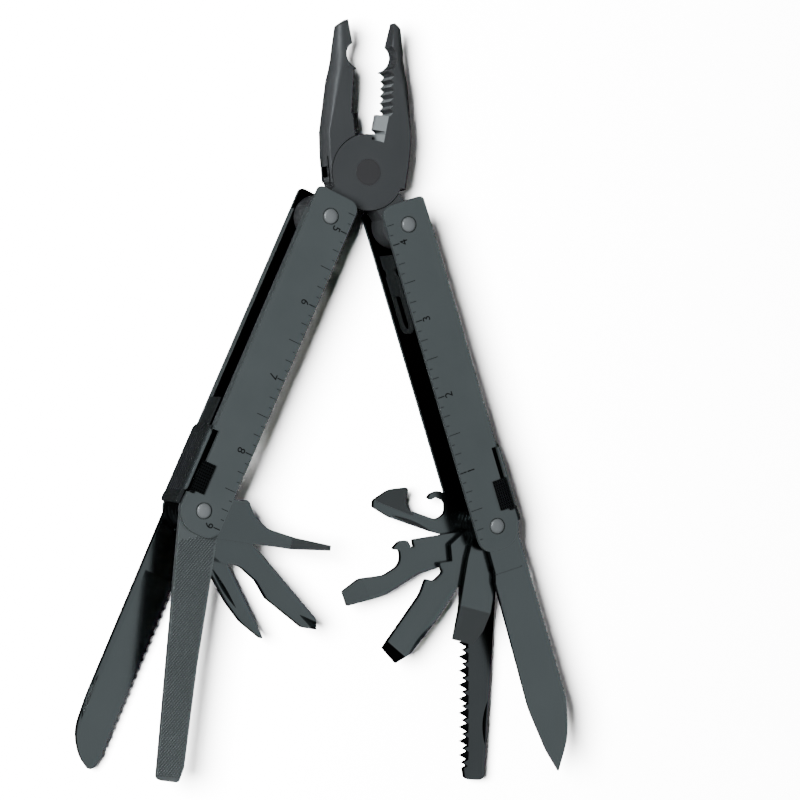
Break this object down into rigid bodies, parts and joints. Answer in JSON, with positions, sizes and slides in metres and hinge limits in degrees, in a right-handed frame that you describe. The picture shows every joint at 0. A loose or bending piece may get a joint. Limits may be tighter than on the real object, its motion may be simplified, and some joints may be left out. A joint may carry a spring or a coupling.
{
  "type": "multi tool",
  "caption": "Plier multi tool with two spread channel handles, folding blades, saw, file, drivers, openers and sliding lock releases.",
  "frame": {"origin": "middle of the footprint, on the face of the back plates that the tool lies on", "axes": "+Y towards the jaws, +Z through the tool's thickness, towards the front plates"},
  "size_m": [0.161, 0.2438, 0.0201],
  "materials": {
    "black_oxide_plate": "black oxide sheet steel, satin",
    "black_oxide_forging": "black oxide forged steel, bead blasted",
    "black_oxide_blade": "black oxide blade steel, satin",
    "bright_rivet": "bare steel rivet, polished",
    "spring_steel": "black oxide spring steel, brushed",
    "slider_black": "knurled black slider"
  },
  "bodies": {
    "left_tang_rivet": {"left_head_rivet": "bright_rivet"},
    "front_jaw": {"front_jaw": "black_oxide_forging", "jaw_rivet": "black_oxide_forging"},
    "back_jaw": {"back_jaw": "black_oxide_forging"},
    "left_handle": {"left_front_plate": "black_oxide_plate", "left_back_plate": "black_oxide_plate", "left_tool_rivet": "bright_rivet", "left_lock_spring": "spring_steel", "left_spring_pin": "bright_rivet", "left_head_spring": "spring_steel", "left_front_washer": "bright_rivet", "left_back_washer": "bright_rivet"},
    "right_handle": {"right_front_plate": "black_oxide_plate", "right_back_plate": "black_oxide_plate", "right_head_rivet": "bright_rivet", "right_tool_rivet": "bright_rivet", "right_lock_spring": "spring_steel", "right_spring_pin": "bright_rivet", "right_head_spring": "spring_steel", "right_front_washer": "bright_rivet", "right_back_washer": "bright_rivet"},
    "left_release": {"left_release_slider": "slider_black"},
    "right_release": {"right_release_slider": "slider_black"},
    "metal_file": {"metal_file": "black_oxide_blade"},
    "small_screwdriver": {"small_screwdriver": "black_oxide_blade"},
    "phillips_screwdriver": {"phillips_screwdriver": "black_oxide_blade"},
    "reamer": {"reamer": "black_oxide_blade"},
    "serrated_blade": {"serrated_blade": "black_oxide_blade"},
    "knife_blade": {"knife_blade": "black_oxide_blade"},
    "wood_chisel": {"wood_chisel": "black_oxide_blade"},
    "large_screwdriver": {"large_screwdriver": "black_oxide_blade"},
    "bottle_opener": {"bottle_opener": "black_oxide_blade"},
    "can_opener": {"can_opener": "black_oxide_blade"},
    "wood_saw": {"wood_saw": "black_oxide_blade"}
  },
  "joints": [
    {"name": "jaw_close", "type": "hinge", "parent": "front_jaw", "child": "back_jaw", "pos_m": [0.01224, 0.07402, 0.0095], "axis": [0, 0, -1], "range_deg": [-7, 17.9]},
    {"name": "head_turn", "type": "hinge", "parent": "left_tang_rivet", "child": "front_jaw", "pos_m": [-0.00226, 0.05967, 0.0095], "axis": [0, 0, -1], "range_deg": [-17.9, 7]},
    {"name": "left_fold", "type": "hinge", "parent": "left_tang_rivet", "child": "left_handle", "pos_m": [-0.00226, 0.05967, 0.0095], "axis": [0, 0, -1], "range_deg": [0, 149]},
    {"name": "right_fold", "type": "hinge", "parent": "back_jaw", "child": "right_handle", "pos_m": [0.02414, 0.05746, 0.0095], "axis": [0, 0, 1], "range_deg": [0, 167]},
    {"name": "left_unlock", "type": "slide", "parent": "left_handle", "child": "left_release", "axis": [0.4163, 0.9092, 0], "range_m": [0, 0.008]},
    {"name": "right_unlock", "type": "slide", "parent": "right_handle", "child": "right_release", "axis": [-0.304, 0.9527, 0], "range_m": [0, 0.008]},
    {"name": "file_fold", "type": "hinge", "parent": "left_handle", "child": "metal_file", "pos_m": [-0.04431, -0.03216, 0.0095], "axis": [0, 0, 1], "range_deg": [-17.8, 159.7]},
    {"name": "small_driver_fold", "type": "hinge", "parent": "left_handle", "child": "small_screwdriver", "pos_m": [-0.04431, -0.03216, 0.0095], "axis": [0, 0, 1], "range_deg": [-98.7, 78.8]},
    {"name": "phillips_fold", "type": "hinge", "parent": "left_handle", "child": "phillips_screwdriver", "pos_m": [-0.04431, -0.03216, 0.0095], "axis": [0, 0, 1], "range_deg": [-71.1, 106.4]},
    {"name": "reamer_fold", "type": "hinge", "parent": "left_handle", "child": "reamer", "pos_m": [-0.04431, -0.03216, 0.0095], "axis": [0, 0, 1], "range_deg": [-52.9, 124.6]},
    {"name": "serrated_fold", "type": "hinge", "parent": "left_handle", "child": "serrated_blade", "pos_m": [-0.04431, -0.03216, 0.0095], "axis": [0, 0, 1], "range_deg": [-0.6, 176.9]},
    {"name": "knife_fold", "type": "hinge", "parent": "right_handle", "child": "knife_blade", "pos_m": [0.05485, -0.03876, 0.0095], "axis": [0, 0, -1], "range_deg": [0, 177.5]},
    {"name": "chisel_fold", "type": "hinge", "parent": "right_handle", "child": "wood_chisel", "pos_m": [0.05485, -0.03876, 0.0095], "axis": [0, 0, -1], "range_deg": [-32.9, 144.6]},
    {"name": "large_driver_fold", "type": "hinge", "parent": "right_handle", "child": "large_screwdriver", "pos_m": [0.05485, -0.03876, 0.0095], "axis": [0, 0, -1], "range_deg": [-57.9, 119.6]},
    {"name": "bottle_opener_fold", "type": "hinge", "parent": "right_handle", "child": "bottle_opener", "pos_m": [0.05485, -0.03876, 0.0095], "axis": [0, 0, -1], "range_deg": [-82.9, 94.6]},
    {"name": "can_opener_fold", "type": "hinge", "parent": "right_handle", "child": "can_opener", "pos_m": [0.05485, -0.03876, 0.0095], "axis": [0, 0, -1], "range_deg": [-117.3, 60.2]},
    {"name": "saw_fold", "type": "hinge", "parent": "right_handle", "child": "wood_saw", "pos_m": [0.05485, -0.03876, 0.0095], "axis": [0, 0, -1], "range_deg": [-21.4, 156.1]}
  ],
  "couplings": [
    {"joint": "head_turn", "follows": "jaw_close", "ratio": -1}
  ]
}
